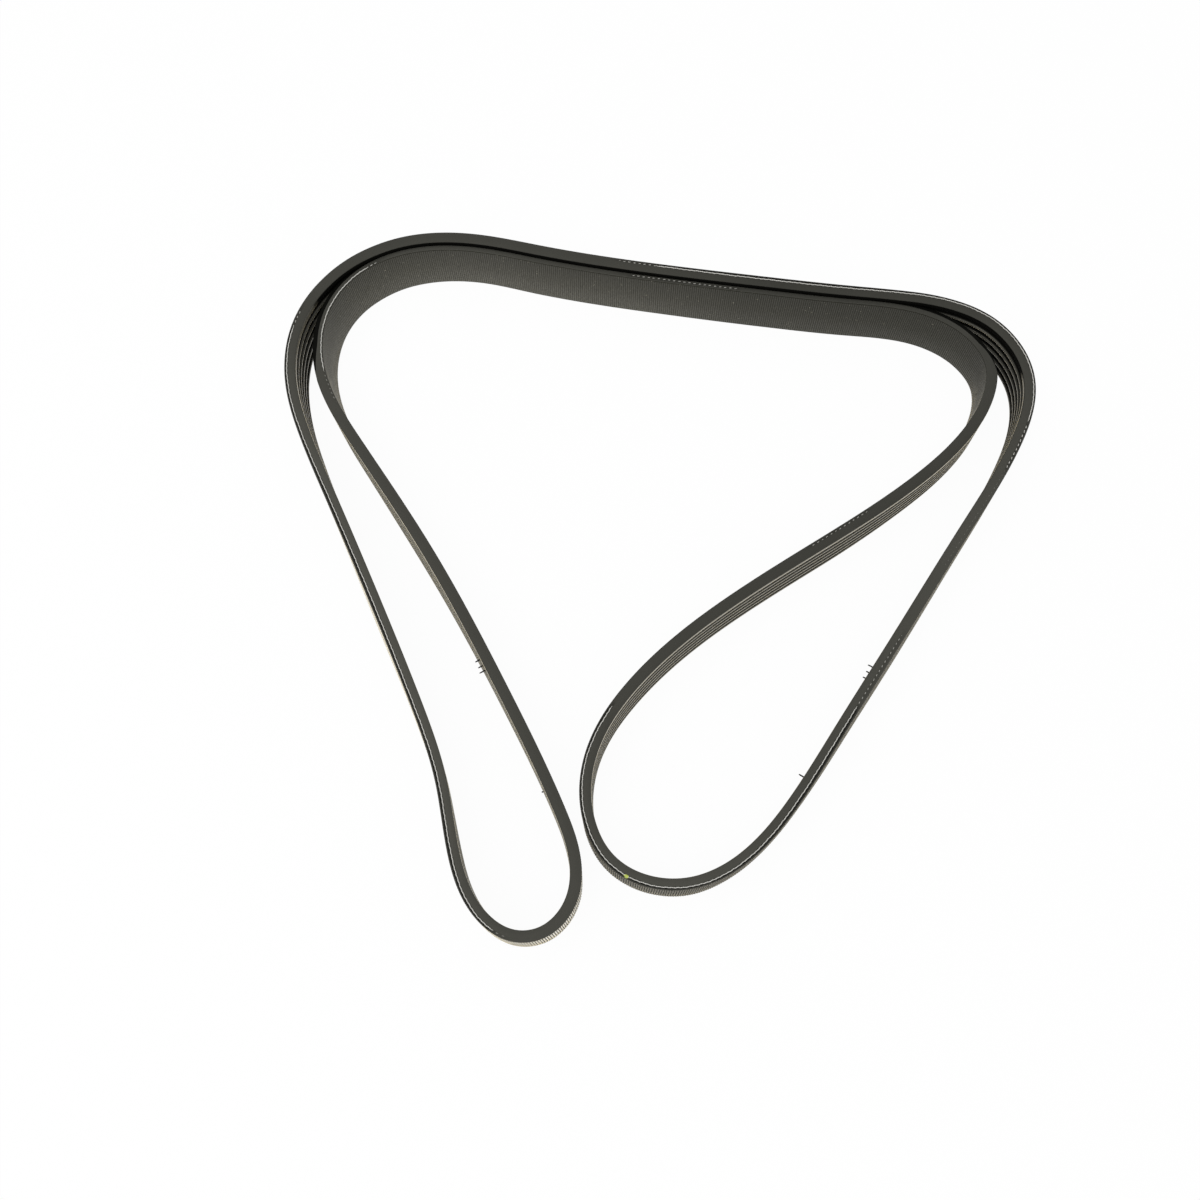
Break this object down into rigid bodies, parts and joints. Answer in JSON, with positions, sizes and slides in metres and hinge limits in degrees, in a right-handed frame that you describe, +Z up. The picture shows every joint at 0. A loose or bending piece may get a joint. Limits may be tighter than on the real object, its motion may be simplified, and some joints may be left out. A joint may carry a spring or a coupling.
{
  "type": "alternator belt",
  "caption": "Endless black ribbed drive belt standing on its cut edge, folded over so that its strands nest along the top and open into a loop at each side of the foot.",
  "frame": {"origin": "on the surface that the belt stands on, under the middle of its bounding box", "axes": "+Z up out of the cut edge that faces the camera; +X towards the wide loop, to the right in the picture; +Y towards the nested strands, away from the camera"},
  "size_m": [0.287, 0.2746, 0.0232],
  "materials": {
    "black_rubber": "matt black rubber, greyed by handling, with faintly shiny rib crests"
  },
  "bodies": {
    "root": {"ribbed_belt": "black_rubber"}
  },
  "joints": []
}
